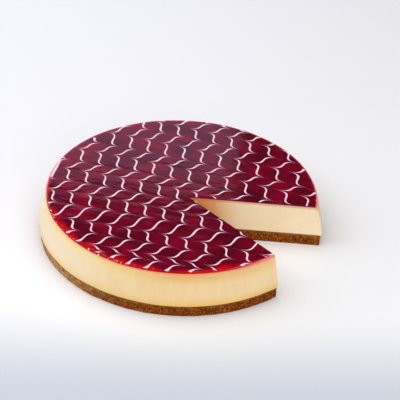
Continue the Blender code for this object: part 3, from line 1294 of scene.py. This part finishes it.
@dataclass
class FeatheredIcing:
    """The white icing: low ribbons of one section, sheared by the drags into long thin tails."""

    gap: WedgeGap
    feathering: Feathering
    glaze: RaspberryGlaze
    finish: IcingFinish = IcingFinish()
    lines: int = 8
    width: float = 0.0019
    thin_width: float = 0.7
    widest_slant: float = 1.35
    edge_fade: float = 0.55
    rise: float = 0.00022
    thin_rise: float = 0.1
    sink: float = 0.0001
    first_growth: tuple[float, float, float] = (0.0, 0.0012, 0.7)
    second_growth: tuple[float, float, float] = (0.0008, 0.0034, 0.3)
    unevenness: float = 0.3
    uneven_length: float = 0.0045
    line_offset: float = 3.1
    rim_gap: float = 0.0006
    rim_fade: float = 0.0012
    rim_width: float = 0.25
    blob_reach: float = 0.006
    blob_growth: float = 0.75
    slope_step: float = 0.0002
    cut_slack: float = 1e-7
    fewest_places: int = 3
    section: tuple[tuple[float, float], ...] = (
        (-0.5, 0.0), (-0.3, 0.78), (0.0, 1.0), (0.3, 0.78), (0.5, 0.0),
    )
    step_room: float = 0.0002
    steps: tuple[float, ...] = (
        0.0, 0.00012, 0.00028, 0.0005, 0.0008, 0.0012, 0.0018, 0.0027, 0.004, 0.0058, 0.0072,
    )

    def row_places(self) -> list[float]:
        """The places of the sections across the drags, close together where a skewer passed.

        Returns:
            The places, in order.
        """
        drags = self.feathering.drag_places
        places = []
        for before, drag, after in zip((-math.inf, *drags), drags, (*drags[1:], math.inf)):
            down, up = (drag - before) / 2 - self.step_room, (after - drag) / 2 - self.step_room
            places += [drag - step for step in reversed(self.steps[1:]) if step < down]
            places += [drag + step for step in self.steps if step < up]
        return places

    def kept_places(self, line: int) -> list[float]:
        """The places at which a line is on the glaze.

        Args:
            line: The line's number.

        Returns:
            The places, in order.
        """
        limit = self.glaze.radius - self.rim_gap
        law = self.feathering
        return [place for place in self.row_places() if law.point(line, place, 0.0).length < limit]

    def ribbon(self, line: int) -> bpy.types.Mesh | None:
        """One line of icing as a closed mesh.

        Args:
            line: The line's number.

        Returns:
            The mesh, or None where the line misses the glaze.
        """
        places = self.kept_places(line)
        if len(places) < self.fewest_places:
            return None
        shell = bmesh.new()
        cover_layer = shell.verts.layers.float.new("cover")
        points = [shell.verts.new((0.0, 0.0, 0.0)) for _ in self.section]
        edges = [shell.edges.new(pair) for pair in zip(points, points[1:] + points[:1])]
        bmesh.ops.edgeloop_fill(shell, edges=edges)
        self.set_section(points, cover_layer, line, places[0], places)
        for place in places[1:]:
            fresh, edges = grow(shell, edges)
            points = self.in_order(points, fresh)
            self.set_section(points, cover_layer, line, place, places)
        bmesh.ops.edgeloop_fill(shell, edges=edges)
        mesh = bpy.data.meshes.new("icing_line")
        shell.to_mesh(mesh)
        shell.free()
        return mesh

    @staticmethod
    def in_order(previous: list[Vert], fresh: list[Vert]) -> list[Vert]:
        """Puts extruded points in the order of those that they came from.

        Args:
            previous: The points that were extruded, in order.
            fresh: The new points.

        Returns:
            The new points, in order.
        """
        return [
            next(edge.other_vert(point) for edge in point.link_edges if edge.other_vert(point) in fresh)
            for point in previous
        ]

    def set_section(
        self,
        points: list[Vert],
        cover_layer: bmesh.types.BMLayerItem,
        line: int,
        place: float,
        places: Sequence[float],
    ) -> None:
        """Puts one section of a ribbon where it belongs on the glaze.

        Args:
            points: The section's points.
            cover_layer: The mesh layer that says how thick the icing is.
            line: The line's number.
            place: The section's place across the drags.
            places: All the places of the line, whose first and last are its ends.
        """
        law = self.feathering
        from_end = min(place - places[0], places[-1] - place)
        from_drag = law.from_drag(place)
        thick = sum(
            share * smooth_share(from_drag, low, high)
            for low, high, share in (self.first_growth, self.second_growth)
        )
        spot = Vector((line * self.line_offset, place / self.uneven_length, 0.0))
        uneven = 1.0 + self.unevenness * noise.noise(spot)
        blob = 1.0 + self.blob_growth * (1 - smooth_share(from_end, 0.0, self.blob_reach))
        width = self.width * uneven * blob * (self.thin_width + (1 - self.thin_width) * thick)
        rise = self.rise * uneven * (self.thin_rise + (1 - self.thin_rise) * thick)
        middle = law.point(line, place)
        limit = self.glaze.radius - self.rim_gap / 2
        kept = math.exp(-max(0.0, middle.length - limit + self.rim_gap) / self.rim_fade)
        way = law.point(line, place + self.slope_step) - law.point(line, place - self.slope_step)
        slant = way.length / max(HAIR, way.cross(law.drag_way()).length)
        width *= 1.0 + (min(slant, self.widest_slant) - 1.0) * thick
        width *= self.rim_width + (1 - self.rim_width) * kept
        for point, (across, up) in zip(points, self.section):
            at = middle + law.drag_way() * (across * width)
            if at.length > limit:
                at *= limit / at.length
            at.z = self.glaze.height_at(at) + up * rise - (self.sink if up == 0.0 else 0.0)
            point.co = at
            point[cover_layer] = thick * kept * (1.0 - self.edge_fade * (2 * across) ** 2)

    def open_gap(self, shell: Shell) -> None:
        """Cuts the ribbons at both walls and takes away what lies in the gap.

        Args:
            shell: All the ribbons.
        """
        for wall in Wall:
            bmesh.ops.bisect_plane(
                shell, geom=[*shell.verts, *shell.edges, *shell.faces], dist=self.cut_slack,
                plane_co=self.gap.tip, plane_no=self.gap.into_gap(wall),
            )
        inside = [face for face in shell.faces if self.gap.holds(face.calc_center_median())]
        bmesh.ops.delete(shell, geom=inside, context="FACES")
        loose = [edge for edge in shell.edges if edge.is_boundary]
        bmesh.ops.holes_fill(shell, edges=loose, sides=0)

    def build(self) -> Piece:
        """Builds all the ribbons as one piece.

        Returns:
            The piece.
        """
        shell = bmesh.new()
        for line in range(-self.lines, self.lines + 1):
            mesh = self.ribbon(line)
            if mesh is not None:
                shell.from_mesh(mesh)
                bpy.data.meshes.remove(mesh)
        self.open_gap(shell)
        return finish_piece("feathered_icing", shell, self.finish.material(), Slot.ICING)


@dataclass(frozen=True)
class Softbox:
    """One soft light of the studio: where it hangs, what it faces, its size in metres and its light."""

    name: str
    place: tuple[float, float, float]
    aim: tuple[float, float, float]
    size: tuple[float, float]
    radiance: float
    colour: Colour = (1.0, 1.0, 1.0)
    mirrored: bool = False

    def build(self) -> Piece:
        """Hangs the light. Only a mirrored one shows in glossy surfaces.

        Returns:
            The light.
        """
        lamp = bpy.data.lights.new(self.name, "AREA")
        lamp.shape = "RECTANGLE"
        lamp.size, lamp.size_y = self.size
        lamp.energy = self.radiance * math.pi * self.size[0] * self.size[1]
        lamp.color = self.colour
        light = bpy.data.objects.new(self.name, lamp)
        bpy.context.scene.collection.objects.link(light)
        light.visible_glossy = self.mirrored
        light.location = self.place
        light.rotation_euler = (Vector(self.aim) - Vector(self.place)).to_track_quat("-Z", "Y").to_euler()
        return light


@dataclass(frozen=True)
class Studio:
    """A pale floor, an even sky and soft lights."""

    floor_size: float = 12.0
    sky: Colour = (0.92, 0.95, 1.0)
    sky_strength: float = 0.05
    softboxes: tuple[Softbox, ...] = (
        Softbox("overhead", (-0.1, -0.2, 1.5), (0.0, 0.0, 0.0), (3.2, 2.9), 1.26),
        Softbox(
            "left_window", (-1.45, 0.1, 0.95), (0.0, 0.0, 0.02), (2.4, 1.7), 1.04, (0.92, 0.97, 1.08)
        ),
        Softbox("front_fill", (1.0, -1.75, 0.85), (0.0, 0.0, 0.02), (3.6, 1.5), 1.3, (1.0, 0.96, 0.9)),
        Softbox(
            "left_sheen", (-1.4, 0.2, 0.85), (0.0, 0.0, 0.04), (0.72, 0.45), 0.8, (0.9, 0.95, 1.0), True
        ),
        Softbox(
            "front_sheen", (0.45, -1.6, 0.75), (0.0, 0.0, 0.04), (0.7, 0.4), 0.8, (1.0, 0.97, 0.95), True
        ),
        Softbox(
            "back_sheen", (-0.4, 1.1, 0.45), (-0.4, 0.0, 0.45), (0.98, 0.68), 0.92, (0.74, 0.63, 1.0), True
        ),
    )

    def build(self) -> None:
        """Builds the floor, the sky and the lights."""
        scene = bpy.context.scene
        scene.view_settings.view_transform = "Standard"
        world = bpy.data.worlds.new("studio")
        world.use_nodes = True
        background = world.node_tree.nodes["Background"]
        background.inputs["Color"].default_value = (*self.sky, 1.0)
        background.inputs["Strength"].default_value = self.sky_strength
        scene.world = world
        shell = bmesh.new()
        bmesh.ops.create_grid(shell, x_segments=1, y_segments=1, size=self.floor_size / 2)
        mesh = bpy.data.meshes.new("floor")
        shell.to_mesh(mesh)
        shell.free()
        mesh.materials.append(FloorFinish().material())
        floor = bpy.data.objects.new("floor", mesh)
        scene.collection.objects.link(floor)
        for softbox in self.softboxes:
            softbox.build()


@dataclass(frozen=True)
class PhotoCamera:
    """The camera, from its place relative to the cake and where the cake's origin shows."""

    frame_pixels: int = 400
    focal_pixels: float = 1618.9
    sensor: float = 36.0
    distance: float = 1.47085
    elevation: float = math.radians(35.4863)
    roll: float = math.radians(2.381)
    origin_pixel: tuple[float, float] = (180.38, 229.38)
    clip: tuple[float, float] = (0.05, 50.0)

    def build(self) -> Piece:
        """Places the camera and makes it the scene's own.

        Returns:
            The camera.
        """
        place = Vector((0.0, -math.cos(self.elevation), math.sin(self.elevation))) * self.distance
        right = Vector((1.0, 0.0, 0.0))
        forward = -place.normalized()
        level = Matrix((right, -right.cross(forward), forward))
        centre = self.frame_pixels / 2
        ray = Vector((*((pixel - centre) / self.focal_pixels for pixel in self.origin_pixel), 1.0))
        aim = Vector((0.0, 0.0, 1.0)).rotation_difference(ray.normalized()).to_matrix()
        seen = aim @ Matrix.Rotation(self.roll, 3, "Z") @ level
        data = bpy.data.cameras.new("photo_camera")
        data.sensor_width = self.sensor
        data.sensor_fit = "HORIZONTAL"
        data.lens = self.focal_pixels * self.sensor / self.frame_pixels
        data.clip_start, data.clip_end = self.clip
        camera = bpy.data.objects.new("photo_camera", data)
        bpy.context.scene.collection.objects.link(camera)
        axes = Matrix((seen[0], -seen[1], -seen[2])).transposed()
        camera.matrix_world = Matrix.Translation(place) @ axes.to_4x4()
        bpy.context.scene.camera = camera
        return camera


def pieces(gap: WedgeGap, feathering: Feathering) -> Iterator[Piece]:
    """Builds the cake's pieces, from the base up.

    Args:
        gap: The gap that they share.
        feathering: Where the icing and the drags lie.

    Yields:
        Each piece, once it is built.
    """
    yield BiscuitBase(gap).build()
    yield CheeseFilling(gap).build()
    glaze = RaspberryGlaze(gap, feathering)
    yield glaze.build()
    yield FeatheredIcing(gap, feathering, glaze).build()


def main() -> None:
    """Loads the frame, then builds the camera, the studio and the cake."""
    logging.basicConfig(level=logging.INFO, format="%(name)s: %(message)s")
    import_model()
    PhotoCamera().build()
    Studio().build()
    for piece in pieces(WedgeGap(), Feathering()):
        LOG.info("built %s", piece.name)


if __name__ == "__main__":
    main()
